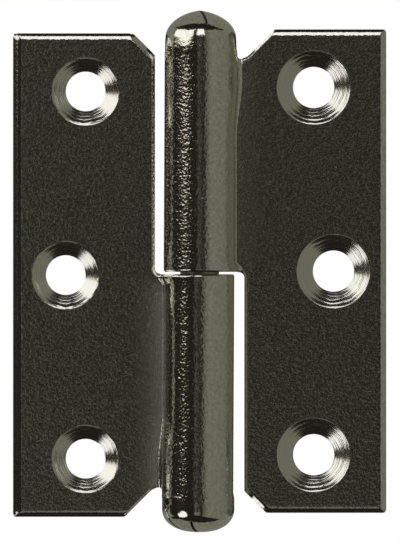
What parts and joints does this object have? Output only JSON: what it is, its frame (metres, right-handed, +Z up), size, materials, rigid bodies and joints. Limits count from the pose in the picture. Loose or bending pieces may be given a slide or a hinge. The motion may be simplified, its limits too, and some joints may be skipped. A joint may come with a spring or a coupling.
{
  "type": "furniture hinge",
  "caption": "Lift-off furniture hinge in rolled sheet metal: two flat leaves with countersunk screw holes turn on a pin, and the door leaf lifts off.",
  "frame": {"origin": "centre of the open hinge's box: on the pin's axis left to right and front to back, and half way up between the tips of the two domes", "axes": "+Z up the pin's axis towards the closed end of the door leaf's barrel; +Y out of the flat backs of the leaves; +X from the pin towards the door leaf's outer edge"},
  "size_m": [0.0386, 0.0072, 0.0538],
  "materials": {
    "nickel_plated_steel": "bright nickel plating on rolled steel sheet",
    "drawn_steel": "drawn steel pin"
  },
  "bodies": {
    "frame_leaf": {"frame_leaf": "nickel_plated_steel"},
    "hinge_pin": {"hinge_pin": "drawn_steel"},
    "door_leaf": {"door_leaf": "nickel_plated_steel"}
  },
  "joints": [
    {"name": "swing", "type": "hinge", "parent": "frame_leaf", "child": "hinge_pin", "pos_m": [0, 0, 0], "axis": [0, 0, -1], "range_deg": [-100, 185]},
    {"name": "lift_off", "type": "slide", "parent": "hinge_pin", "child": "door_leaf", "axis": [0, 0, 1], "range_m": [0, 0.026]}
  ]
}
